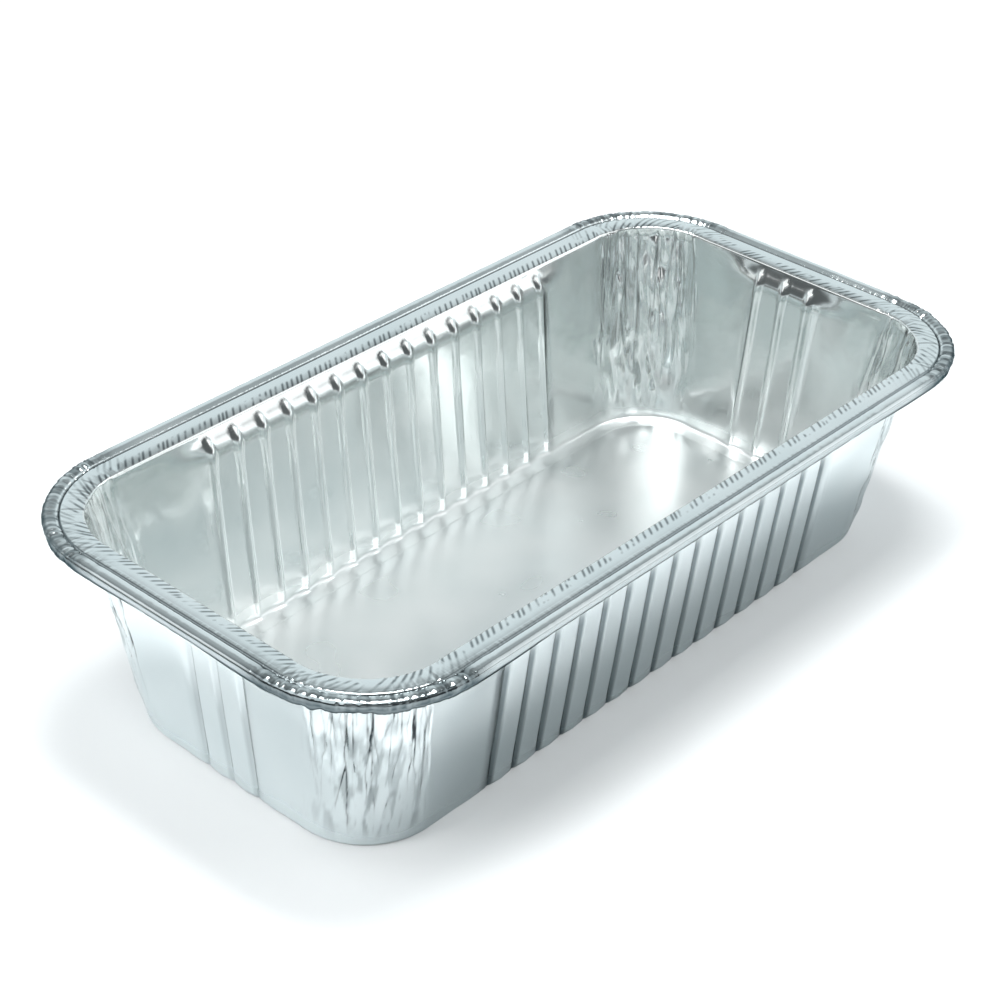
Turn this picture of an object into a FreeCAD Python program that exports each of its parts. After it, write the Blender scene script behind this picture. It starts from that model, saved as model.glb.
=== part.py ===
import FreeCAD, Part
import math
import os

# Foil liner for a grease tray: one pressed sheet of aluminium foil, in millimetres.
# +Z is up, X runs along the length, and the origin is at the middle of the resting face.

# Rim, the largest outline
rim_length = 305.0
rim_width = 158.5
tray_height = 73.5
foil_thickness = 0.12

# Plan sizes, each measured inwards from the outline before it
bead_width = 5.0
flange_width = 8.0
wall_lean = 10.0
opening_corner_radius = 27.0
base_corner_radius = 26.0
corner_fold_count = 15

# Base: a flat ring that the liner rests on, with a slightly raised panel inside it
base_bend = 2.0
rest_ring_width = 5.0
panel_step_width = 1.5
panel_rise = 1.2

# Rolled rim: flange, crease, bead and the edge curled back under the bead
lip_bend = 1.2
flange_slope = 0.3
crease_width = 0.8
crease_depth = 0.6
bead_height = 4.5
bead_round = 0.9
curl_return = 4.2
curl_rise = 2.2

# Upright grooves, pressed inwards into the four walls
side_groove_count = 15
side_groove_pitch = 11.1
end_groove_count = 3
end_groove_pitch = 10.8
groove_depth = 1.8
groove_width = 5.6
groove_floor_width = 1.8
groove_foot_depth = 0.6
groove_foot_width = 3.2
groove_foot_floor_width = 0.8
groove_point_width = 0.6
groove_point_floor_width = 0.2
groove_point_below_flange = 9.5
groove_fade_length = 12.0

# Ribs left between the grooves, crowned outwards
rib_crown = 0.6
rib_foot_crown = 0.7
rib_crown_width = 2.0
rib_foot_crown_width = 2.8
rib_point_crown_width = 3.6

# The fluted part of a wall leans in from its plain ends, most at the tips of its grooves
flute_recess = 2.0

# Gathers where the foil is drawn in round the corners
gather_depth = 0.55
gather_foot_depth = 0.14
flange_crimp = 0.18
bead_crimp = 0.22

# Heights and insets that follow from them
rim_top = tray_height
flange_top = rim_top - bead_round
bead_bottom = rim_top - bead_height
wall_top = flange_top - lip_bend
groove_point = flange_top - groove_point_below_flange
groove_shoulder = groove_point - groove_fade_length
groove_middle = (base_bend + groove_shoulder) / 2
opening_inset = bead_width + flange_width
base_inset = opening_inset + wall_lean

# The four sides in turn: direction along it, direction outwards, half its run, half the
# distance between it and the opposite side, and its grooves
SIDES = (
    ((1, 0), (0, -1), rim_length / 2, rim_width / 2, side_groove_count, side_groove_pitch),
    ((0, 1), (1, 0), rim_width / 2, rim_length / 2, end_groove_count, end_groove_pitch),
    ((-1, 0), (0, 1), rim_length / 2, rim_width / 2, side_groove_count, side_groove_pitch),
    ((0, -1), (-1, 0), rim_width / 2, rim_length / 2, end_groove_count, end_groove_pitch),
)


class Level:
    """One closed line of the sheet at one height, as eight runs: four sides and four corners."""

    def __init__(self, inset, radius, z, flutes=None, gather=0.0, crimp=0.0):
        self.inset = inset
        self.z = z
        self.runs = []
        for side in SIDES:
            self.runs.append(side_run(side, inset, radius, z, flutes))
            self.runs.append(corner_run(side, inset, radius, z, gather, crimp))


def groove_stations(middle, width, floor_width, depth):
    """Plan section of one groove: places along the side, with how far in each lies."""
    return [
        (middle - width / 2, 0.0),
        (middle - floor_width / 2, depth),
        (middle + floor_width / 2, depth),
        (middle + width / 2, 0.0),
    ]


def rib_stations(middle, crown_width, crown):
    """Plan section of the rib between two grooves: the two ends of its crown."""
    return [(middle - crown_width / 2, -crown), (middle + crown_width / 2, -crown)]


def side_run(side, inset, radius, z, flutes):
    """Points along one straight side, from corner to corner, with its grooves and ribs where it has them."""
    along, outward, half_run, half_span, count, pitch = side
    end = half_run - inset - radius
    stations = [(-end, 0.0)]
    if flutes:
        groove, rib, recess = flutes
        for number in range(count):
            middle = (number - (count - 1) / 2) * pitch
            pattern = groove_stations(middle, *groove)
            if number > 0:
                pattern = rib_stations(middle - pitch / 2, *rib) + pattern
            stations += [(station, depth + recess) for station, depth in pattern]
    stations.append((end, 0.0))
    points = []
    for station, depth in stations:
        reach = half_span - inset - depth
        x = along[0] * station + outward[0] * reach
        y = along[1] * station + outward[1] * reach
        points.append((x, y, z))
    return points


def fold_wave(step):
    """How far one fold round a corner stands out, from -1 to 1, with none at its two ends."""
    if step in (0, corner_fold_count):
        return 0.0
    return (-1) ** step * (0.65 + 0.35 * math.sin(2.4 * step))


def corner_run(side, inset, radius, z, gather, crimp):
    """Points round the corner after a side, folded in and out by gather, up and down by crimp."""
    along, outward, half_run, half_span, _, _ = side
    forward = half_run - inset - radius
    sideways = half_span - inset - radius
    points = []
    for step in range(corner_fold_count + 1):
        turn = math.pi / 2 * step / corner_fold_count
        reach = radius + gather * fold_wave(step)
        ahead = forward + reach * math.sin(turn)
        aside = sideways + reach * math.cos(turn)
        x = along[0] * ahead + outward[0] * aside
        y = along[1] * ahead + outward[1] * aside
        points.append((x, y, z + crimp * fold_wave(step)))
    return points


def base_level(step_in, z, flutes=None):
    """A line of the base, whose corners share their centres with the foot of the wall."""
    return Level(base_inset + step_in, base_corner_radius - step_in, z, flutes)


def wall_level(z, flutes=None, gather=gather_depth):
    """A line of the leaning wall, whose inset and corner radius follow its height."""
    share = (z - base_bend) / (wall_top - base_bend)
    radius = base_corner_radius + (opening_corner_radius - base_corner_radius) * share
    return Level(base_inset - wall_lean * share, radius, z, flutes, gather)


def foot_flutes(share):
    """Grooves and ribs at the foot of the wall, at a share of their full relief there."""
    groove = (groove_foot_width, groove_foot_floor_width, share * groove_foot_depth)
    rib = (rib_foot_crown_width, share * rib_foot_crown)
    return groove, rib, 0.0


def full_flutes(z):
    """Grooves and ribs at their full relief, at a height."""
    recess = flute_recess * (z - base_bend) / (groove_point - base_bend)
    return (groove_width, groove_floor_width, groove_depth), (rib_crown_width, rib_crown), recess


def flute_tips(recess):
    """The upper ends of the grooves and ribs, without relief."""
    groove = (groove_point_width, groove_point_floor_width, 0.0)
    return groove, (rib_point_crown_width, 0.0), recess


def rim_level(inset, z, gather=0.0, crimp=0.0):
    """A line of the rim, whose corners share their centres with the opening."""
    return Level(inset, opening_corner_radius + opening_inset - inset, z, None, gather, crimp)


def sheet_levels():
    """The underside of the sheet, from the base panel out to the edge curled under the rim."""
    panel_foot = base_bend + rest_ring_width
    crease_top = flange_top + flange_slope
    return [
        base_level(panel_foot + panel_step_width, panel_rise),
        base_level(panel_foot, 0.0),
        base_level(base_bend, 0.0, foot_flutes(0.5)),
        base_level(0.3 * base_bend, 0.3 * base_bend, foot_flutes(0.8)),
        wall_level(base_bend, foot_flutes(1.0), gather_foot_depth),
        wall_level(groove_middle, full_flutes(groove_middle)),
        wall_level(groove_shoulder, full_flutes(groove_shoulder)),
        wall_level(groove_point, flute_tips(flute_recess)),
        wall_level(wall_top, flute_tips(0.0)),
        rim_level(opening_inset - 0.3 * lip_bend, flange_top - 0.3 * lip_bend),
        rim_level(opening_inset - lip_bend, flange_top, crimp=flange_crimp),
        rim_level(bead_width + crease_width, crease_top, crimp=flange_crimp),
        rim_level(bead_width, crease_top - crease_depth, crimp=flange_crimp),
        rim_level(bead_width - bead_round, rim_top - 0.2 * bead_round, bead_crimp),
        rim_level(bead_width / 2, rim_top, crimp=bead_crimp),
        rim_level(0.3 * bead_round, rim_top - 0.7 * bead_round, bead_crimp),
        rim_level(0.0, rim_top - 2 * bead_round, bead_crimp),
        rim_level(0.0, bead_bottom + bead_round, bead_crimp),
        rim_level(0.3 * bead_round, bead_bottom + 0.3 * bead_round, bead_crimp),
        rim_level(bead_round, bead_bottom),
        rim_level(curl_return - bead_round, bead_bottom),
        rim_level(curl_return, bead_bottom + bead_round),
        rim_level(curl_return, bead_bottom + curl_rise),
    ]


def unit(x, y):
    """The direction of a plane vector."""
    length = math.hypot(x, y)
    return x / length, y / length


def mitre(before, after):
    """The move that shifts two meeting lines sideways by one, from their unit normals."""
    x = before[0] + after[0]
    y = before[1] + after[1]
    scale = 2 / (x * x + y * y)
    return x * scale, y * scale


def plan_mitres(loop):
    """The outward mitre of each point of a closed loop, seen from above."""
    normals = []
    for number, point in enumerate(loop):
        after = loop[(number + 1) % len(loop)]
        normals.append(unit(after[1] - point[1], point[0] - after[0]))
    return [mitre(normals[number - 1], normals[number]) for number in range(len(loop))]


def profile_mitres(levels):
    """The mitre of each level in the sheet's profile: how far out and up its other side lies."""
    normals = []
    for level, after in zip(levels, levels[1:]):
        normals.append(unit(level.z - after.z, level.inset - after.inset))
    joints = [mitre(before, after) for before, after in zip(normals, normals[1:])]
    return [normals[0]] + joints + [normals[-1]]


def shifted_runs(level, move, distance):
    """The runs of a level on the other side of the sheet."""
    loop = [point for run in level.runs for point in run[:-1]]
    shifted = []
    for (x, y, z), (out_x, out_y) in zip(loop, plan_mitres(loop)):
        out = move[0] * distance
        shifted.append((x + out_x * out, y + out_y * out, z + move[1] * distance))
    shifted.append(shifted[0])
    runs = []
    first = 0
    for run in level.runs:
        runs.append(shifted[first:first + len(run)])
        first += len(run) - 1
    return runs


def flat_face(points):
    """A flat face through points, or nothing if they aren't in one plane."""
    corners = [FreeCAD.Vector(*point) for point in points]
    wire = Part.makePolygon(corners + corners[:1])
    if len(corners) > 3 and wire.findPlane(1e-7) is None:
        return None
    return Part.Face(wire)


def band_faces(lower, upper):
    """Faces between two neighbouring levels: one strip for each of the eight runs."""
    faces = []
    for low, high in zip(lower, upper):
        if len(low) != len(high):
            faces.append(flat_face(low + high[::-1]))
            continue
        for number in range(len(low) - 1):
            corners = [low[number], low[number + 1], high[number + 1], high[number]]
            face = flat_face(corners)
            if face:
                faces.append(face)
            else:
                faces.append(flat_face(corners[:3]))
                faces.append(flat_face([corners[0], corners[2], corners[3]]))
    return faces


def panel_face(runs):
    """The flat face inside one level."""
    return flat_face([point for run in runs for point in run[:-1]])


def foil_liner():
    """The whole liner: its underside, its upper side and the cut edge between them."""
    levels = sheet_levels()
    under = [level.runs for level in levels]
    over = []
    for level, move in zip(levels, profile_mitres(levels)):
        over.append(shifted_runs(level, move, foil_thickness))
    faces = [panel_face(under[0]), panel_face(over[0])]
    for skin in (under, over):
        for lower, upper in zip(skin, skin[1:]):
            faces += band_faces(lower, upper)
    faces += band_faces(under[-1], over[-1])
    sheet = Part.makeCompound(faces)
    sheet.sewShape()
    liner = Part.makeSolid(sheet)
    if liner.Volume < 0:
        liner.reverse()
    return liner


os.makedirs("parts", exist_ok=True)
foil_liner().exportStep("parts/foil_liner.step")
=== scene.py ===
import math

import bpy
import numpy as np
from mathutils import Matrix, Vector


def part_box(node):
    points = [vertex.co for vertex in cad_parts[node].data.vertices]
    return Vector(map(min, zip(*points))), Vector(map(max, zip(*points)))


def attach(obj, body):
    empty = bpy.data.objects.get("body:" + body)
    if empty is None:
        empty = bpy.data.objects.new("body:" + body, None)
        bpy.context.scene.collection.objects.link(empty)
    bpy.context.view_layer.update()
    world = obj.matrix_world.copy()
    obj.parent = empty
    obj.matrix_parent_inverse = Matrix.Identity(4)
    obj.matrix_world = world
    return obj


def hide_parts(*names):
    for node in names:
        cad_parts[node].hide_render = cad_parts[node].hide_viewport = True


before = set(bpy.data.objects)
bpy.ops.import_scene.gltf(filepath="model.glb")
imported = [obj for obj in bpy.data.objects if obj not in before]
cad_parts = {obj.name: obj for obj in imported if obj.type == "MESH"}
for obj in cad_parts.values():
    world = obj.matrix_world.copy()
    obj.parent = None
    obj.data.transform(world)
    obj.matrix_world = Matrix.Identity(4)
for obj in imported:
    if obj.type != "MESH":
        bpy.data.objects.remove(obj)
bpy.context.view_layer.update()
box_low, box_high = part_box("foil_liner")

# Lengths are in millimetres until the mesh is made, and MM turns them into metres.
MM = 0.001

# Outline, from the frame, less the room that the crimps and the sheet itself take in it
crimp_room = 0.3
crimp_rise = 0.25
foil = 0.12
rim_length = (box_high.x - box_low.x) / MM - 2 * crimp_room
rim_width = (box_high.y - box_low.y) / MM - 2 * crimp_room
rim_top = box_high.z / MM - foil - crimp_rise

# Plan sizes, measured inwards from the outline
bead_width = 5.0
flange_width = 8.0
wall_lean = 10.0
opening_radius = 27.0
base_radius = 26.0
least_radius = 4.0

# Base and rim sections
base_bend = 2.0
rest_ring_width = 5.0
panel_step_width = 1.5
panel_rise = 1.2
bead_height = 4.5
bead_shoulder = 0.9
bead_drop = 2.2
bead_face = 0.7
bead_tuck = 1.9
lip_bend = 1.2
flange_slope = 0.2
flange_crown = 0.3
crease_width = 0.8
crease_depth = 0.6
curl_return = 4.2
curl_rise = 2.0

# Upright grooves
side_grooves = 15
side_pitch = 11.1
end_grooves = 3
end_pitch = 10.8
groove_point_drop = 9.5
groove_fade = 12.0
tip_rise = 2.4
flute_recess = 2.0
recess_blend = 20.0
least_column_width = 2.6

# Heights and insets that follow
flange_top = rim_top - bead_shoulder
bead_bottom = rim_top - bead_height
wall_top = flange_top - lip_bend
groove_point = flange_top - groove_point_drop
groove_shoulder = groove_point - groove_fade
recess_top = groove_point + tip_rise
opening_inset = bead_width + flange_width
base_inset = opening_inset + wall_lean

# Columns of the grid: shares of each groove, each rib, each plain end and each corner
GROOVE_SHARES = (-1.0, -0.66, -0.33, 0.0, 0.33, 0.66)
GROOVE_COLUMNS = len(GROOVE_SHARES)
GROOVE_FLANK = 0.78
RIB_SHARES = (0.0, 0.07, 0.5, 0.93)
RIB_COLUMNS = len(RIB_SHARES)
END_COLUMNS = 10
CORNER_COLUMNS = 92

# The four sides in turn: direction along, direction outwards, half run, half span, grooves, their pitch
SIDES = (
    ((1, 0), (0, -1), rim_length / 2, rim_width / 2, side_grooves, side_pitch),
    ((0, 1), (1, 0), rim_width / 2, rim_length / 2, end_grooves, end_pitch),
    ((-1, 0), (0, 1), rim_length / 2, rim_width / 2, side_grooves, side_pitch),
    ((0, -1), (-1, 0), rim_width / 2, rim_length / 2, end_grooves, end_pitch),
)

# Noise: cells of the table that repeats, and the shift that keeps clear of its origin
NOISE_CELLS = 32
NOISE_SHIFT = 11.7

# Seeds of the random draws
SHEET_SEEDS = (3, 4)
FACET_SEEDS = (8, 9)
STREAK_SEEDS = (21, 22)
FOLD_SEED = 40
CRIMP_SEED = 91
TONE_SEED = 17

# Folds and crimps
FOLDS = 24
FACET_DEPTH = 1.35
CORNER_REACH = 12.0


# ---------------------------------------------------------------- profile of the sheet

def straight(start, end, count):
    """Points of a straight stretch, without its end."""
    share = np.arange(count)[:, None] / count
    return (1 - share) * np.array(start) + share * np.array(end)


def bend(start, corner, end, count):
    """Points of a smooth bend towards a corner point, without its end."""
    share = np.arange(count)[:, None] / count
    pull = 2 * share * (1 - share)
    return (1 - share) ** 2 * np.array(start) + pull * np.array(corner) + share ** 2 * np.array(end)


def profile():
    """Section of the underside as (inset, height) rows, and the row at which each zone starts."""
    ring_inner = base_inset + base_bend + rest_ring_width
    ring_outer = base_inset + base_bend
    panel_edge = ring_inner + panel_step_width
    foot_inset = base_inset + 0.15 * base_bend
    crease_top = flange_top + flange_slope
    crease_low = crease_top - crease_depth
    crown = bead_width / 2
    bead_widest = rim_top - bead_drop
    flange_middle = (opening_inset - lip_bend + bead_width + crease_width) / 2
    parts = [
        ("panel", straight((rim_width / 2 - 1.5, panel_rise), (panel_edge, panel_rise), 8)),
        ("step", bend((panel_edge, panel_rise), (ring_inner + 1.0, panel_rise),
                      (ring_inner + 0.7, 0.5 * panel_rise), 2)),
        ("step2", bend((ring_inner + 0.7, 0.5 * panel_rise), (ring_inner + 0.4, 0.0),
                       (ring_inner, 0.0), 2)),
        ("ring", straight((ring_inner, 0.0), (ring_outer, 0.0), 2)),
        ("bend", bend((ring_outer, 0.0), (foot_inset, 0.0), (base_inset, base_bend), 4)),
        ("wall", straight((base_inset, base_bend), (opening_inset, wall_top), 29)),
        ("lip", bend((opening_inset, wall_top), (opening_inset - 0.17, flange_top),
                     (opening_inset - lip_bend, flange_top), 4)),
        ("flange", bend((opening_inset - lip_bend, flange_top), (flange_middle, crease_top + flange_crown),
                        (bead_width + crease_width, crease_top), 6)),
        ("crease", bend((bead_width + crease_width, crease_top), (bead_width + 0.3, crease_top - 0.1),
                        (bead_width, crease_low), 3)),
        ("bead", bend((bead_width, crease_low), (bead_width - 0.9, rim_top),
                      (crown, rim_top), 4)),
        ("brow", bend((crown, rim_top), (0.0, rim_top), (0.0, bead_widest), 5)),
        ("side", straight((0.0, bead_widest), (0.1, bead_widest - bead_face), 2)),
        ("chin", bend((0.1, bead_widest - bead_face), (0.4, bead_bottom),
                      (bead_tuck, bead_bottom), 3)),
        ("curl", bend((bead_tuck, bead_bottom), (curl_return, bead_bottom),
                      (curl_return, bead_bottom + curl_rise), 4)),
    ]
    starts = {}
    count = 0
    for name, points in parts:
        starts[name] = count
        count += len(points)
    end = np.array([[curl_return, bead_bottom + curl_rise]])
    starts["end"] = count
    return np.vstack([points for _, points in parts] + [end]), starts


rows, zone = profile()
inset = rows[:, 0]
height = rows[:, 1]
ROWS = len(rows)


def corner_radii():
    """Plan radius of the corners at each row."""
    radii = np.empty(ROWS)
    on_wall = slice(zone["wall"], zone["lip"])
    share = (height[on_wall] - base_bend) / (wall_top - base_bend)
    on_base = inset[:zone["wall"]]
    concentric = np.maximum(base_radius - (on_base - base_inset), least_radius)
    radii[:zone["wall"]] = np.minimum(concentric, 0.8 * (rim_width / 2 - on_base))
    radii[on_wall] = base_radius + (opening_radius - base_radius) * share
    radii[zone["lip"]:] = opening_radius + opening_inset - inset[zone["lip"]:]
    return radii


radius = corner_radii()


# ---------------------------------------------------------------- noise

def lattice(points, seed):
    """Smooth noise from -1 to 1 at points (n, 3), one cell to the unit."""
    table = np.random.default_rng(seed).uniform(-1, 1, (NOISE_CELLS,) * 3)
    cell = np.floor(points).astype(int)
    part = points - cell
    part = part * part * (3 - 2 * part)
    total = np.zeros(len(points))
    for corner in range(8):
        step = np.array([corner & 1, corner >> 1 & 1, corner >> 2])
        weight = np.where(step, part, 1 - part).prod(axis=1)
        where = (cell + step) % NOISE_CELLS
        total += weight * table[where[:, 0], where[:, 1], where[:, 2]]
    return total


def noise(places, size, seed):
    """Smooth noise over a grid of places in mm, with cells of the given size along x, y and z."""
    flat = places.reshape(-1, 3) / np.array(size) + NOISE_SHIFT
    return lattice(flat, seed).reshape(places.shape[:-1])


def smooth(low, high, value):
    """Rises smoothly from 0 at low to 1 at high."""
    share = np.clip((value - low) / (high - low), 0, 1)
    return share * share * (3 - 2 * share)


# ---------------------------------------------------------------- the grid in plan

def groove_depth(z):
    """How deep the grooves are at a height."""
    keys = (0.0, base_bend, 14.0, groove_shoulder - 2, recess_top, wall_top - 1)
    return np.interp(z, keys, (0.25, 0.45, 0.9, 1.25, 1.15, 0.0))


def groove_width(z):
    """How wide the grooves are at a height."""
    keys = (0.0, base_bend, 14.0, 30.0, groove_point - 5, recess_top, wall_top - 1)
    return np.interp(z, keys, (2.6, 2.6, 2.8, 3.1, 3.1, 4.8, 3.0))


def rib_bulge(z):
    """How far the ribs between grooves stand out at a height."""
    keys = (0.0, base_bend, 9.0, 20.0, groove_point - 6, groove_point - 1)
    return np.interp(z, keys, (0.55, 0.6, 0.25, 0.04, 0.0, 0.0))


def recess(places, z, count, pitch):
    """How far the fluted part of a wall leans in from its plain ends, at places along it."""
    most = flute_recess * np.interp(z, (base_bend, recess_top, wall_top), (0.0, 1.0, 0.0))
    if z < recess_top:
        most *= most / flute_recess
    half = 0.5 * (count - 1) * pitch
    return most * (1 - smooth(half - 2, half + recess_blend, np.abs(places)))


def side_stations(count, pitch, half_run, row):
    """Places along one side at a row, with how far each is pushed in."""
    end = half_run - inset[row] - radius[row]
    scale = min(1.0, end / (half_run - base_inset - base_radius))
    z = height[row]
    on_rim = row >= zone["lip"]
    width = groove_width(z)
    depth = groove_depth(z)
    bulge = rib_bulge(z)
    if row < zone["bend"]:
        depth = 0.0
        bulge = 0.4 if row == zone["bend"] - 1 else 0.0
    even = pitch * GROOVE_COLUMNS / (GROOVE_COLUMNS + RIB_COLUMNS)
    column_width = max(width, least_column_width)
    spread = 1.0 if on_rim else smooth(groove_point + 2, wall_top + 1, z)
    column_width += (even - column_width) * spread
    first = -0.5 * (count - 1) * pitch - column_width / 2
    places = []
    inner = np.arange(END_COLUMNS) / END_COLUMNS
    inner = 0.5 * inner + 0.5 * inner ** 2
    places += list(-end + (first * scale + end) * inner)
    for number in range(count):
        middle = (number - 0.5 * (count - 1)) * pitch
        for share in GROOVE_SHARES:
            places.append(scale * (middle + 0.5 * share * column_width))
        if number < count - 1:
            for step, close in enumerate(RIB_SHARES):
                share = close + (step / RIB_COLUMNS - close) * spread
                places.append(scale * (middle + column_width / 2 + share * (pitch - column_width)))
    last = -first * scale
    places.append(last)
    outer = np.arange(1, END_COLUMNS) / END_COLUMNS
    outer = 1 - (0.5 * (1 - outer) + 0.5 * (1 - outer) ** 2)
    places += list(last + (end - last) * outer)
    places = np.array(places)
    pushed = recess(places, z, count, pitch)
    for number in range(count):
        middle = (number - 0.5 * (count - 1)) * pitch
        away = np.abs(places - middle)
        pushed += depth * np.clip((1 - away / (width / 2)) / GROOVE_FLANK, 0, 1)
        for side in (-1, 1):
            off = np.abs(places - middle - side * pitch / 2)
            pushed -= 0.5 * bulge * np.cos(math.pi * np.minimum(off / pitch, 0.5)) ** 1.3
    return places, pushed


def plan_grid():
    """Places of the whole grid, rows by columns, with its columns' runs and angles."""
    grid = []
    for row in range(ROWS):
        line = []
        for along, outward, half_run, half_span, count, pitch in SIDES:
            places, pushed = side_stations(count, pitch, half_run, row)
            reach = half_span - inset[row] - pushed
            along, outward = np.array(along), np.array(outward)
            line.append(places[:, None] * along + reach[:, None] * outward)
            turn = math.pi / 2 * np.arange(CORNER_COLUMNS) / CORNER_COLUMNS
            forward = half_run - inset[row] - radius[row] + radius[row] * np.sin(turn)
            sideways = half_span - inset[row] - radius[row] + radius[row] * np.cos(turn)
            line.append(forward[:, None] * along + sideways[:, None] * outward)
        line = np.vstack(line)
        grid.append(np.column_stack([line, np.full(len(line), height[row])]))
    return np.array(grid)


grid = plan_grid()
COLUMNS = grid.shape[1]


def run_lengths():
    """Number of columns in each of the eight runs."""
    lengths = []
    for _, _, _, _, count, _ in SIDES:
        lengths.append(2 * END_COLUMNS + count * GROOVE_COLUMNS + (count - 1) * RIB_COLUMNS)
        lengths.append(CORNER_COLUMNS)
    return lengths


lengths = run_lengths()
starts = np.concatenate([[0], np.cumsum(lengths)])
assert starts[-1] == COLUMNS, (starts, COLUMNS)


def normals_of(places):
    """Unit normals of the grid, on the underside of the sheet."""
    around = np.roll(places, -1, axis=1) - np.roll(places, 1, axis=1)
    up = np.gradient(places, axis=0)
    normal = np.cross(around, up)
    return normal / np.maximum(np.linalg.norm(normal, axis=2, keepdims=True), 1e-9)


# ---------------------------------------------------------------- wrinkles

corner_share = np.zeros(COLUMNS)
corner_number = np.full(COLUMNS, -1)
for number in range(4):
    first = starts[2 * number + 1]
    corner_share[first:first + CORNER_COLUMNS] = np.arange(CORNER_COLUMNS) / CORNER_COLUMNS
    corner_number[first:first + CORNER_COLUMNS] = number

wall_rows = np.arange(zone["wall"], zone["lip"] + 1)


def closeness_to_corner():
    """1 round the corners, falling to 0 some way along the sides, for each column of the rim."""
    row = grid[zone["brow"]]
    near = np.zeros(COLUMNS)
    for number in range(4):
        first = starts[2 * number + 1]
        arc = row[first:first + CORNER_COLUMNS]
        gap = np.min(np.linalg.norm(row[:, None] - arc[None], axis=2), axis=1)
        near = np.maximum(near, 1 - smooth(0, CORNER_REACH, gap))
    return near


near_corner = closeness_to_corner()
fold_links = set()


def soft_sheet(places):
    """Slow unevenness of the whole sheet."""
    broad, fine = SHEET_SEEDS
    return 0.10 * noise(places, (34, 34, 40), broad) + 0.025 * noise(places, (13, 13, 18), fine)


def fold_paths(rng):
    """Routes of the folds down one corner: rows, places in columns, depths, half width and side of each."""
    count = len(wall_rows)
    waiting = []
    for _ in range(FOLDS):
        top = count - 1 - int(rng.integers(0, 3))
        place = rng.uniform(0.06, 0.94) * CORNER_COLUMNS
        length = int(count * rng.uniform(0.25, 0.95))
        depth = rng.uniform(0.2, 0.62)
        drift = rng.normal(0, 0.12)
        waiting.append((top, place, length, depth, drift))
    paths = []
    while waiting:
        top, place, length, depth, drift = waiting.pop()
        rows_down = []
        places = []
        depths = []
        phase = rng.uniform(0, 6)
        for step in range(length):
            row = top - step
            if row < 1:
                break
            turns = rng.random() < 0.28
            if turns:
                drift = rng.normal(0, 0.42)
            may_fork = step > 3 and length - step > 4
            if may_fork and rng.random() < 0.05:
                branch_drift = -drift + rng.choice((-0.6, 0.6))
                waiting.append((row, place, int(0.7 * (length - step)), 0.8 * depth, branch_drift))
            place += np.clip(drift, -0.9, 0.9)
            end = min(1.0, 2.2 * (1 - step / length))
            rows_down.append(row)
            places.append(place)
            pinch = 1.4 if rng.random() < 0.07 else 1.0
            depths.append(pinch * depth * end * (0.75 + 0.25 * math.sin(0.8 * step + phase)))
        paths.append((rows_down, places, depths, rng.uniform(1.0, 1.6), rng.choice((-1, 1))))
    return paths


def corner_folds(rng, first):
    """Sharp folds down the wall round one corner: depths, painted shade along the fold lines, and sideways
    shifts, by row and column.
    """
    shape = (len(wall_rows), CORNER_COLUMNS)
    folds, marks, shift = np.zeros(shape), np.zeros(shape), np.zeros(shape)
    paths = fold_paths(rng)
    for rows_down, places, depths, _, _ in paths:
        before = None
        for row, place, depth in zip(rows_down, places, depths):
            column = round(place)
            if not 1 <= column < CORNER_COLUMNS - 1:
                break
            # marks: painted shade along the fold line, stronger where the fold is deeper.
            if marks[row, column] == 0:
                shift[row, column] = place - column
            marks[row, column] = max(marks[row, column], min(1, 2.2 * depth))
            if before is not None and before != column:
                fold_links.add((wall_rows[row], first + column, first + before))
            before = column
    columns = np.arange(CORNER_COLUMNS)
    for rows_down, places, depths, half, side in paths:
        for row, place, depth in zip(rows_down, places, depths):
            away = columns + shift[row] - place
            groove = np.maximum(0, 1 - np.abs(away) / half)
            skirt = 0.4 * side * np.tanh(away) * np.exp(-np.abs(away) / 5)
            folds[row] -= depth * (groove + skirt)
    return folds, marks, shift


def gathers(places):
    """Gathers of the wall round the corners: how far the sheet moves, and the painted shade along its folds
    and facet edges.
    """
    moved = np.zeros(places.shape[:2])
    crease_shade = np.zeros(places.shape[:2])
    arc_mask = np.sin(math.pi * np.clip(corner_share, 0, 1)) ** 0.7
    for number in range(4):
        rng = np.random.default_rng(FOLD_SEED + number)
        first = starts[2 * number + 1]
        block = slice(first, first + CORNER_COLUMNS)
        folds, marks, shift = corner_folds(rng, first)
        on_wall = slice(wall_rows[0], wall_rows[-1] + 1)
        moved[on_wall, block] += folds
        crease_shade[on_wall, block] += marks
        before = np.roll(places, 1, axis=1)[on_wall, block]
        after = np.roll(places, -1, axis=1)[on_wall, block]
        places[on_wall, block] += 0.5 * (after - before) * shift[..., None]
    broad = np.abs(noise(places, (4.6, 4.6, 15.0), FACET_SEEDS[0]))
    fine = np.abs(noise(places, (2.4, 2.4, 8.0), FACET_SEEDS[1]))
    facets = 0.75 - broad - 0.5 * fine
    z = places[..., 2]
    up = smooth(1, 10, z) * (1 - smooth(wall_top, wall_top + 1, z))
    # Painted shade along the edges of the facets round the corners.
    lines = np.maximum(0, 1 - broad / 0.07) + 0.6 * np.maximum(0, 1 - fine / 0.1)
    crease_shade += 0.35 * lines * up * (arc_mask * (corner_number >= 0))[None]
    moved += FACET_DEPTH * facets * up * arc_mask[None] * (corner_number >= 0)[None]
    return moved, crease_shade


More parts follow.
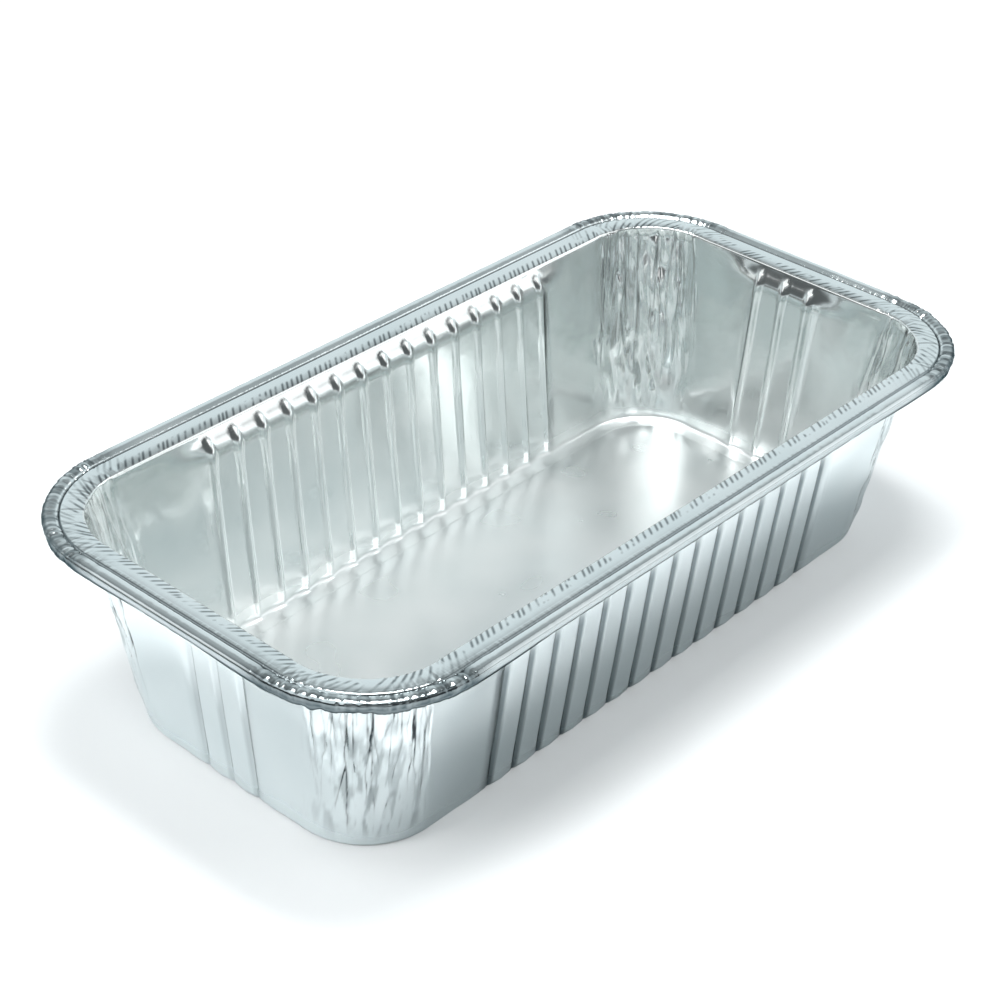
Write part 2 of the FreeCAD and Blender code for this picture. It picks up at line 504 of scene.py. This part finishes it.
def crimps():
    """Crimps of the rolled rim and its flange, dense round the corners and sparse along the sides."""
    rng = np.random.default_rng(CRIMP_SEED)
    bead = np.zeros(COLUMNS)
    flange = np.zeros(COLUMNS)
    column = 0
    while column < COLUMNS:
        dense = near_corner[column]
        if dense > 0.3:
            gap = int(rng.choice((2, 2, 3, 3, 4, 5, 7)))
        else:
            gap = int(rng.integers(3, 9))
        strength = 0.04 + 0.24 * dense
        depth = strength * rng.uniform(0.5, 1.25)
        level = 0.3 * strength * rng.normal()
        tilt = 0.5 * strength * rng.normal()
        bead[column] += depth
        flange[column] += 0.55 * depth * (rng.random() < 0.6)
        for step in range(1, gap):
            if column + step < COLUMNS:
                bead[column + step] += level + tilt * (step / gap - 0.5)
                flange[column + step] += 0.3 * (level + tilt * (step / gap - 0.5))
        column += gap
    return bead, flange


def wrinkled(places):
    """The grid with all its unevenness, and the painted shade in its folds, at its facet edges and at the
    crimps of the bead.
    """
    places = places.copy()
    normal = normals_of(places)
    push = soft_sheet(places) * np.ones(COLUMNS)
    push[zone["lip"]:] *= 0.5
    push[:zone["wall"]] *= 0.8
    moved, crease_shade = gathers(places)
    push += moved
    bead, flange = crimps()
    first, last = zone["bead"], zone["curl"]
    push[first:last] += bead
    push[zone["chin"]:last] -= 0.6 * bead
    push[zone["lip"] + 2:first] += flange
    for step, share in enumerate((0.4, 0.3, 0.15, 0.05)):
        push[last + step] += share * bead
    out = places + normal * push[..., None]
    # Painted shade at the deeper crimps of the bead.
    crease_shade[first:zone["chin"]] += np.minimum(0.6, np.maximum(0, bead) * 2) * (bead > 0.12)
    return out, crease_shade


# The second result is the painted shade in the folds, at the facet edges and at the bead's crimps.
shaped, painted_fold_shade = wrinkled(grid)
shaped[..., 2] = np.maximum(shaped[..., 2], 0.0)


# ---------------------------------------------------------------- mesh

def band_steps(row):
    """How many grid columns one face spans between a row and the next, on sides and on corners."""
    if row < zone["ring"] or row >= zone["curl"]:
        return 4, 4
    if row < zone["wall"]:
        return 2, 2
    if zone["flange"] <= row < zone["crease"]:
        return 2, 1
    return 1, 1


def band_columns(row):
    """Grid columns at which the faces of a band meet."""
    side_step, corner_step = band_steps(row)
    columns = []
    for number, length in enumerate(lengths):
        step = side_step if number % 2 == 0 else corner_step
        columns += list(range(starts[number], starts[number] + length, step))
    return columns


def sheet_mesh():
    """Vertices and faces of the sheet's underside."""
    bands = [band_columns(row) for row in range(ROWS - 1)]
    index = -np.ones((ROWS, COLUMNS), int)
    used = []
    vertices = []
    for row in range(ROWS):
        columns = sorted(set(bands[min(row, ROWS - 2)]) | set(bands[max(row - 1, 0)]))
        used.append(np.array(columns + [COLUMNS]))
        for column in columns:
            index[row, column] = len(vertices)
            vertices.append((row, column))
    faces = []
    for row, columns in enumerate(bands):
        ends = columns[1:] + [COLUMNS]
        for left, right in zip(columns, ends):
            low = used[row][(used[row] >= left) & (used[row] <= right)] % COLUMNS
            high = used[row + 1][(used[row + 1] >= left) & (used[row + 1] <= right)] % COLUMNS
            if (row, left, right) in fold_links:
                faces.append([index[row, left], index[row, right], index[row + 1, right]])
                faces.append([index[row, left], index[row + 1, right], index[row + 1, left]])
                continue
            if (row, right, left) in fold_links:
                faces.append([index[row, left], index[row, right], index[row + 1, left]])
                faces.append([index[row, right], index[row + 1, right], index[row + 1, left]])
                continue
            faces.append([index[row, c] for c in low] + [index[row + 1, c] for c in high[::-1]])
    near = [c for c in bands[0] if starts[0] <= c < starts[1]] + [starts[1]]
    far = [c for c in bands[0] if starts[4] <= c < starts[5]] + [starts[5]]
    far = far[::-1]
    for number in range(len(near) - 1):
        quad = (near[number], far[number], far[number + 1], near[number + 1])
        faces.append([index[0, c] for c in quad])
    right = [c for c in bands[0] if starts[1] <= c <= starts[4]]
    left = [c for c in bands[0] if starts[5] <= c] + [0]
    faces.append([index[0, c] for c in right[::-1]])
    faces.append([index[0, c] for c in left[::-1]])
    return np.array(vertices), faces


nodes, faces = sheet_mesh()
points = shaped[nodes[:, 0], nodes[:, 1]] * MM
mesh = bpy.data.meshes.new("liner_foil")
mesh.from_pydata(points.tolist(), [], faces)
mesh.validate()
mesh.shade_smooth()
liner = bpy.data.objects.new("liner_foil", mesh)
bpy.context.collection.objects.link(liner)


def add_map():
    """UV map in metres: round the rim, and along the section."""
    around = np.concatenate([[0], np.cumsum(np.linalg.norm(np.diff(grid[zone["lip"]], axis=0), axis=1))])
    total = around[-1] + np.linalg.norm(grid[zone["lip"], 0] - grid[zone["lip"], -1])
    steps = np.linalg.norm(np.diff(rows, axis=0), axis=1)
    across = np.concatenate([[0], np.cumsum(steps)])
    layer = mesh.uv_layers.new(name="sheet")
    loops = np.empty(len(mesh.loops), int)
    mesh.loops.foreach_get("vertex_index", loops)
    u = around[nodes[loops, 1]]
    v = across[nodes[loops, 0]]
    first = np.empty(len(mesh.polygons), int)
    mesh.polygons.foreach_get("loop_start", first)
    count = np.empty(len(mesh.polygons), int)
    mesh.polygons.foreach_get("loop_total", count)
    face = np.repeat(np.arange(len(first)), count)
    highest = np.maximum.reduceat(u, first)[face]
    u = np.where((highest > 0.7 * total) & (u < 0.3 * total), u + total, u)
    layer.uv.foreach_set("vector", (np.column_stack([u, v]) * MM).astype(np.float32).ravel())


add_map()


def groove_shade(shaded):
    """Adds painted shade in the grooves, less on the end walls, and on the wall just under the rim."""
    for row in range(zone["bend"], zone["lip"]):
        z = height[row]
        half = 0.5 * groove_width(z)
        fading = 1 - 0.8 * smooth(groove_shoulder - 6, groove_shoulder + 3, z)
        depth = (0.6 + 0.25 * smooth(10, 35, z)) * fading
        for number, (along, _, _, _, count, pitch) in enumerate(SIDES):
            block = slice(starts[2 * number], starts[2 * number + 1])
            places = grid[row, block, 0] * along[0] + grid[row, block, 1] * along[1]
            share = 1.0 if count > end_grooves else 0.3
            for groove in range(count):
                middle = (groove - 0.5 * (count - 1)) * pitch
                away = np.abs(places - middle) / half
                # Painted shade across each groove, fading out towards the rim.
                shaded[row, block] += share * depth * (1 - smooth(0.75, 1.25, away))
        # Painted shade on the wall just under the rim, less round the corners.
        under_rim = 0.12 * smooth(50, 58, z) + 0.35 * smooth(56, 59, z)
        shaded[row] += under_rim * (1 - 0.6 * near_corner)


def wall_shade(shaded):
    """Adds painted shade, darker towards the foot of the long walls, and streaky painted shade down the
    corners.
    """
    z = grid[..., 2]
    # Painted shade, darker towards the foot of the long walls.
    sideways = smooth(0.5, 0.95, np.abs(normals_of(grid)[..., 1]))
    foot = 0.24 * sideways * (1 - smooth(2, 42, z))
    shaded[zone["bend"]:zone["lip"]] += foot[zone["bend"]:zone["lip"]]
    # Streaky painted shade down the corners.
    broad, fine = STREAK_SEEDS
    streak_shade = noise(grid, (1.5, 1.5, 18.0), broad) + 0.6 * noise(grid, (0.9, 0.9, 9.0), fine)
    rise = smooth(1, 12, z) * (1 - smooth(44, 58, z))
    arc = np.sin(math.pi * corner_share) * (corner_number >= 0)
    shaded[:zone["lip"]] += (0.4 * smooth(0.15, 0.6, streak_shade) * rise * arc)[:zone["lip"]]


def rim_shade(shaded):
    """Sets the painted shade of the crease and of the bead, which is uneven and darkest round the corners."""
    rng = np.random.default_rng(TONE_SEED)
    tone = np.repeat(rng.uniform(0.1, 1.0, COLUMNS // 2 + 1), 2)[:COLUMNS]
    bead = 0.45 + near_corner * (0.33 + 0.2 * tone)
    # Painted shade along the crease.
    shaded[zone["crease"] + 1:zone["bead"] + 1] = 0.8
    # Painted shade over the top of the bead round the corners, uneven from column to column.
    shaded[zone["bead"] + 2:zone["brow"] + 2] = 0.75 * near_corner * tone
    # Painted shade down the side of the bead, darkest under it.
    shaded[zone["brow"] + 2:zone["side"]] = 0.9 * bead
    shaded[zone["side"]:zone["chin"]] = bead
    shaded[zone["chin"] - 1] = np.maximum(bead, 0.55)
    shaded[zone["chin"]] = 0.85
    shaded[zone["chin"] + 1:] = 0.88


def shade_marks():
    """How much painted shade the outer skin gets, from 0 to 1."""
    shaded = np.zeros((ROWS, COLUMNS))
    groove_shade(shaded)
    wall_shade(shaded)
    rim_shade(shaded)
    return shaded


def crimp_marks():
    """How crinkled the rim is."""
    crimped = np.zeros((ROWS, COLUMNS))
    crimped[zone["lip"]:] = 0.12 + 0.7 * near_corner
    crimped[zone["flange"]:zone["crease"]] *= 0.5
    crimped[zone["crease"]:zone["bead"] + 2] = 1.0
    return crimped


def panel_marks():
    """How dull the base is, fading out up the foot of the wall."""
    panel = np.zeros((ROWS, COLUMNS))
    panel[:zone["step"]] = 1.0
    panel[zone["step"]:zone["wall"]] = 1.3
    panel[zone["wall"]:zone["wall"] + 4] = np.array([1.2, 0.9, 0.6, 0.3])[:, None]
    return panel


def tick_marks():
    """Where the flange gets short ticks of painted shade for its small crinkles: along its inner half, and
    round the corners right across.
    """
    ticked = np.zeros((ROWS, COLUMNS))
    ticked[zone["lip"] + 3:zone["flange"] + 3] = 1.0
    ticked[zone["flange"] + 3:zone["crease"] + 1] = 0.5 * near_corner
    return ticked


def add_masks():
    """Point attributes that the material reads."""
    masks = {
        "crimped": crimp_marks(),
        "panel": panel_marks(),
        "painted_fold_shade": painted_fold_shade,
        "ticked": tick_marks(),
        "shaded": shade_marks(),
    }
    for name, values in masks.items():
        attribute = mesh.attributes.new(name, "FLOAT", "POINT")
        attribute.data.foreach_set("value", values[nodes[:, 0], nodes[:, 1]].astype(np.float32))
    outward = mesh.attributes.new("outward", "FLOAT_VECTOR", "POINT")
    directions = normals_of(grid)
    directions[zone["flange"]:] *= -1
    directions = directions[nodes[:, 0], nodes[:, 1]]
    outward.data.foreach_set("vector", directions.astype(np.float32).ravel())


add_masks()

solidify = liner.modifiers.new("thickness", "SOLIDIFY")
solidify.thickness = foil * MM
solidify.offset = -1
solidify.use_even_offset = False


# ---------------------------------------------------------------- node trees

class Graph:
    """A node tree with short ways to add nodes to it."""

    def __init__(self, tree):
        self.tree = tree

    def put(self, socket, value):
        """Sets an input to a value, or links it to another node's output."""
        if isinstance(value, bpy.types.NodeSocket):
            self.tree.links.new(value, socket)
        else:
            socket.default_value = value

    def add(self, kind, settings=None, **inputs):
        """A new node. Inputs go by their names, with underscores for blanks."""
        made = self.tree.nodes.new("ShaderNode" + kind)
        for name, value in (settings or {}).items():
            setattr(made, name, value)
        for name, value in inputs.items():
            self.put(made.inputs[name.replace("_", " ")], value)
        return made

    def math(self, operation, *values):
        """The result of a sum on values or outputs."""
        made = self.add("Math", {"operation": operation})
        for socket, value in zip(made.inputs, values):
            self.put(socket, value)
        return made.outputs[0]

    def dot(self, first, second):
        """The dot product of two vectors."""
        made = self.add("VectorMath", {"operation": "DOT_PRODUCT"})
        self.put(made.inputs[0], first)
        self.put(made.inputs[1], second)
        return made.outputs["Value"]

    def mix(self, share, first, second, blend="MIX"):
        """Two colours mixed, with the share of the second one."""
        made = self.add("Mix", {"data_type": "RGBA", "blend_type": blend})
        for name, value in (("Factor", share), ("A", first), ("B", second)):
            self.put(made.inputs[name], value)
        return made.outputs["Result"]

    def remap(self, value, low, high, to_low=0.0, to_high=1.0, how="LINEAR"):
        """A value brought from one range to another, and kept inside it."""
        made = self.add("MapRange", {"interpolation_type": how}, Value=value,
                        From_Min=low, From_Max=high, To_Min=to_low, To_Max=to_high)
        return made.outputs[0]

    def ramp(self, value, stops):
        """A colour for a value, from pairs of place and colour."""
        made = self.add("ValToRGB")
        elements = made.color_ramp.elements
        while len(elements) < len(stops):
            elements.new(0.5)
        for element, (place, colour) in zip(elements, stops):
            element.position = place
            element.color = colour
        self.put(made.inputs[0], value)
        return made.outputs[0]

    def noise(self, vector, scale, detail):
        """Smooth noise from 0 to 1."""
        return self.add("TexNoise", Vector=vector, Scale=scale, Detail=detail, Roughness=0.5).outputs[0]

    def mark(self, name, kind="Fac"):
        """A point attribute of the mesh."""
        return self.add("Attribute", {"attribute_name": name}).outputs[kind]


# ---------------------------------------------------------------- material

DULL_FOIL = (0.755, 0.818, 0.828, 1)
BRIGHT_FOIL = (0.845, 0.893, 0.9, 1)
# Painted reflection tint of the inner skin, which makes it a little less blue.
INNER_REFLECTION_TINT = (1.045, 1.01, 0.995, 1)
# Colours of the painted shade: its base colour and its grazing tint, then the base colour of the painted
# shade in the folds.
PAINTED_SHADE_COLOUR = (0.07, 0.095, 0.105, 1)
PAINTED_SHADE_EDGE = (0.1, 0.13, 0.14, 1)
PAINTED_FOLD_SHADE = (0.04, 0.045, 0.05, 1)
WHITE = (1, 1, 1, 1)
HAZE_LOW = 0.2
HAZE_HIGH = 0.8
PANEL_DULLNESS = 0.16
TICK_SLANT = (400.0, 300.0, 0.0)
# How dark the ticks of painted shade are.
TICK_DARKNESS = 0.78


def outer_skin(graph):
    """1 on the outer skin of the sheet, 0 on the inner one."""
    normal = graph.add("NewGeometry").outputs["Normal"]
    return graph.math("GREATER_THAN", graph.dot(graph.mark("outward", "Vector"), normal), 0.0)


def tick_lines(graph, sheet):
    """Slanting ticks of painted shade across the flange, in patches, for its small crinkles."""
    ticks = graph.add("TexVoronoi", {"voronoi_dimensions": "1D", "feature": "DISTANCE_TO_EDGE"},
                      Scale=1.0, W=graph.dot(sheet, TICK_SLANT))
    tick = graph.remap(ticks.outputs["Distance"], 0.06, 0.3, 1.0, 0.0)
    patch = graph.remap(graph.noise(sheet, 160.0, 1.0), 0.38, 0.5)
    there = graph.math("MULTIPLY", graph.mark("ticked"), patch)
    return graph.math("MULTIPLY", graph.math("MULTIPLY", tick, there), TICK_DARKNESS)


def foil_colour(graph, haze, outer, painted_shade, sheet):
    """Cloudy foil, with a painted reflection tint that makes the inside less blue, and painted shade in its
    folds, in the grooves and other shaded places, and at the ticks.
    """
    cloudy = graph.ramp(haze, ((HAZE_LOW, DULL_FOIL), (HAZE_HIGH, BRIGHT_FOIL)))
    inner = graph.math("SUBTRACT", 1.0, outer)
    # Painted reflection tint: the inner skin is made a little less blue.
    reflection_tinted = graph.mix(inner, cloudy, INNER_REFLECTION_TINT, "MULTIPLY")
    # Painted shade in the folds, weaker on the inner skin.
    sharp = graph.math("POWER", graph.mark("painted_fold_shade"), 1.7)
    folds = graph.math("MULTIPLY", sharp, graph.remap(outer, 0.0, 1.0, 0.4, 1.0))
    colour = graph.mix(folds, reflection_tinted, PAINTED_FOLD_SHADE)
    # Painted shade from the shaded mask, on the outer skin.
    colour = graph.mix(painted_shade, colour, PAINTED_SHADE_COLOUR)
    # Painted shade at the ticks.
    return graph.mix(tick_lines(graph, sheet), colour, PAINTED_SHADE_COLOUR)


def foil_normal(graph, place, sheet):
    """Slight dents all over, and crinkles along the rim."""
    dents = graph.add("Bump", Strength=0.22, Distance=0.0006, Height=graph.noise(place, 80.0, 2.0))
    stretched = graph.add("Mapping", Vector=sheet, Scale=(600.0, 90.0, 1.0)).outputs[0]
    crinkles = graph.math("MULTIPLY", graph.mark("crimped"), graph.noise(stretched, 1.0, 2.0))
    bump = graph.add("Bump", Strength=0.4, Distance=0.0004, Height=crinkles, Normal=dents.outputs[0])
    return bump.outputs[0]


def foil_material():
    """Bright rolled aluminium foil, with painted shade and a painted reflection tint."""
    material = bpy.data.materials.new("aluminium_foil")
    material.use_nodes = True
    material.node_tree.nodes.clear()
    graph = Graph(material.node_tree)
    place = graph.add("TexCoord").outputs["Object"]
    sheet = graph.add("UVMap", {"uv_map": "sheet"}).outputs[0]
    haze = graph.noise(place, 38.0, 1.0)
    rough = graph.remap(haze, HAZE_LOW, HAZE_HIGH, 0.08, 0.2)
    outer = outer_skin(graph)
    # Painted shade, on the outer skin only.
    painted_shade = graph.math("MULTIPLY", outer, graph.mark("shaded"))
    shader = graph.add(
        "BsdfPrincipled", Metallic=1.0,
        Base_Color=foil_colour(graph, haze, outer, painted_shade, sheet),
        Roughness=graph.math("MULTIPLY_ADD", graph.mark("panel"), PANEL_DULLNESS, rough),
        # The painted shade also dims the grazing reflections.
        Specular_Tint=graph.mix(painted_shade, WHITE, PAINTED_SHADE_EDGE),
        Normal=foil_normal(graph, place, sheet))
    graph.add("OutputMaterial", Surface=shader.outputs[0])
    return material


mesh.materials.append(foil_material())
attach(liner, "root")
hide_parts("foil_liner")


# ---------------------------------------------------------------- studio

FLOOR_SIZE = 6.0
FLOOR_COLOUR = (0.845, 0.87, 0.88, 1)
FLOOR_GLOW = 0.2


def floor():
    """Pale floor that keeps the shadow. It glows a little to the camera alone, so that it comes out white."""
    bpy.ops.mesh.primitive_plane_add(size=FLOOR_SIZE)
    plane = bpy.context.object
    plane.name = "floor"
    material = bpy.data.materials.new("pale_floor")
    material.use_nodes = True
    material.node_tree.nodes.clear()
    graph = Graph(material.node_tree)
    path = graph.add("LightPath").outputs
    direct = graph.math("ADD", path["Is Camera Ray"], path["Is Transmission Ray"])
    share = graph.math("MULTIPLY", direct, FLOOR_GLOW)
    diffuse = graph.add("BsdfDiffuse", Color=FLOOR_COLOUR).outputs[0]
    glow = graph.add("Emission", Color=WHITE).outputs[0]
    mixed = graph.add("MixShader")
    for socket, value in zip(mixed.inputs, (share, diffuse, glow)):
        graph.put(socket, value)
    graph.add("OutputMaterial", Surface=mixed.outputs[0])
    plane.data.materials.append(material)


def lamp(name, place, target, size, power, role):
    """A soft rectangular lamp that faces a target: it lights the floor, shows in the foil, or both."""
    data = bpy.data.lights.new(name, "AREA")
    data.shape = "RECTANGLE"
    data.size, data.size_y = size
    data.energy = power
    made = bpy.data.objects.new(name, data)
    bpy.context.collection.objects.link(made)
    made.location = place
    made.visible_diffuse = role != "foil"
    made.visible_glossy = role != "floor"
    direction = Vector(target) - Vector(place)
    made.rotation_mode = "QUATERNION"
    made.rotation_quaternion = direction.to_track_quat("-Z", "Y")
    return made


# How bright the surround is, from the horizon (0) to straight above (1), away from and near the camera
SKY_TINT = (0.89, 0.975, 1.0)
NEAR_DIRECTION = (-0.757, -0.654, 0.0)
FAR_SIDE = ((0.0, 0.9), (0.3, 0.9), (0.58, 0.85), (0.7, 0.42), (0.8, 0.4), (1.0, 0.5))
NEAR_SIDE = ((0.0, 0.9), (0.05, 0.8), (0.12, 0.11), (0.42, 0.12), (0.65, 0.3), (1.0, 0.35))
LAMP_TARGET = (0, 0, 0.03)
LAMPS = (
    ("key", (-0.8, 0.12, 1.2), (0.35, 0.8), 12.5, "floor"),
    ("key_card", (-0.78, 0.12, 1.17), (0.95, 1.1), 8, "foil"),
    ("top", (0.1, 0.02, 1.5), (0.6, 0.3), 15, "floor"),
    ("top_card", (0.1, 0.02, 1.46), (0.9, 0.6), 14, "foil"),
    ("front", (1.0, -0.9, 1.05), (1.3, 1.0), 8.5, "floor"),
    ("front_card", (0.95, -0.85, 1.0), (1.3, 1.0), 3.2, "foil"),
    ("left", (-1.0, -1.1, 0.62), (0.9, 0.5), 1.4, "foil"),
    ("low", (1.6, -1.95, 0.25), (1.6, 0.6), 2.8, "foil"),
    ("far_left", (-1.1, 1.0, 0.95), (0.9, 0.7), 1.9, "foil"),
    ("right", (1.4, -1.5, 0.8), (0.9, 0.35), 0.6, "foil"),
)


def surround(graph, up, levels):
    """Cool greys that change with the height above the horizon."""
    stops = []
    for place, level in levels:
        red, green, blue = (level * part for part in SKY_TINT)
        stops.append((place, (red, green, blue, 1)))
    return graph.ramp(up, stops)


def studio():
    """A pale surround that is darker above the near side, and soft lamps."""
    world = bpy.data.worlds.new("studio")
    bpy.context.scene.world = world
    world.use_nodes = True
    graph = Graph(world.node_tree)
    place = graph.add("TexCoord").outputs["Generated"]
    up = graph.add("SeparateXYZ", Vector=place).outputs["Z"]
    far = surround(graph, up, FAR_SIDE)
    near = surround(graph, up, NEAR_SIDE)
    nearness = graph.remap(graph.dot(place, NEAR_DIRECTION), -0.35, 0.25, how="SMOOTHSTEP")
    background = world.node_tree.nodes["Background"]
    graph.put(background.inputs["Color"], graph.mix(nearness, far, near))
    graph.put(background.inputs["Strength"], 1.0)
    for name, place, size, power, role in LAMPS:
        lamp(name, place, LAMP_TARGET, size, power, role)


def camera():
    """The photograph's viewing angle, with places counted in lengths of the rim."""
    azimuth, elevation, roll = math.radians(-49.17), math.radians(33.19), math.radians(2.23)
    distance, aside, above = 2.5376, -0.0271, 0.1121
    unit = 0.305
    back = Vector((math.sin(azimuth) * math.cos(elevation),
                   -math.cos(azimuth) * math.cos(elevation), math.sin(elevation)))
    right = Vector((math.cos(azimuth), math.sin(azimuth), 0))
    up = back.cross(right)
    turned_right = math.cos(roll) * right + math.sin(roll) * up
    turned_up = math.cos(roll) * up - math.sin(roll) * right
    data = bpy.data.cameras.new("camera")
    data.lens = 83.5
    data.sensor_width = 36.0
    made = bpy.data.objects.new("camera", data)
    bpy.context.collection.objects.link(made)
    place = unit * (distance * back + aside * right + above * up)
    axes = Matrix((turned_right, turned_up, back)).transposed().to_4x4()
    made.matrix_world = Matrix.Translation(place) @ axes
    data.clip_start, data.clip_end = 0.01, 20.0
    bpy.context.scene.camera = made


floor()
studio()
camera()
bpy.context.scene.view_settings.view_transform = "Standard"
